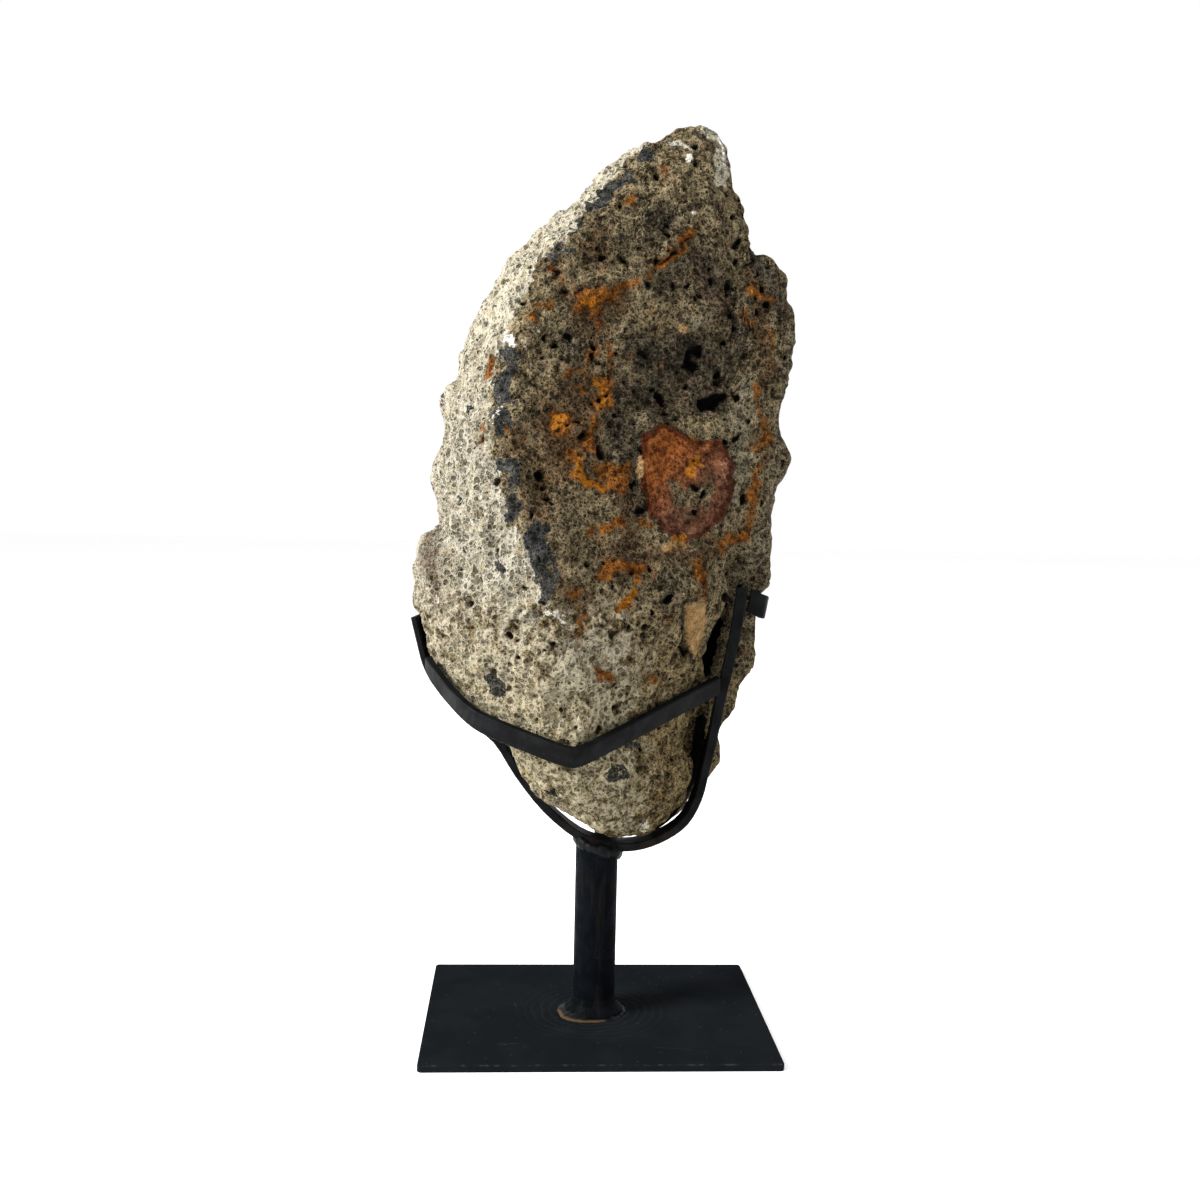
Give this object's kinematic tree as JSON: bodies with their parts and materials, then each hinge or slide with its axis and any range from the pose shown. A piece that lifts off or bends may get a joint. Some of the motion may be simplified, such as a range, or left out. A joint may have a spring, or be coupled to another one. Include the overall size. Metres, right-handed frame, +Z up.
{
  "type": "semi-polished agate",
  "caption": "Tall rough agate stone with one flat polished face behind, cradled by bent steel straps on a round post and a flat base plate, as a free-standing display piece.",
  "frame": {"origin": "middle of the base plate's underside, on the surface that the stand rests on", "axes": "+Z up the post, +Y towards the stone's polished face, -Y towards its rough front, +X to the right as seen from the rough front"},
  "size_m": [0.171, 0.1142, 0.4035],
  "materials": {
    "agate_stone": "rough pitted rind, polished on the sawn face",
    "black_steel": "satin black"
  },
  "bodies": {
    "root": {"agate": "agate_stone", "base_plate": "black_steel", "post": "black_steel", "under_strap": "black_steel", "front_strap": "black_steel", "rim_hook": "black_steel", "rear_prong": "black_steel"}
  },
  "joints": []
}
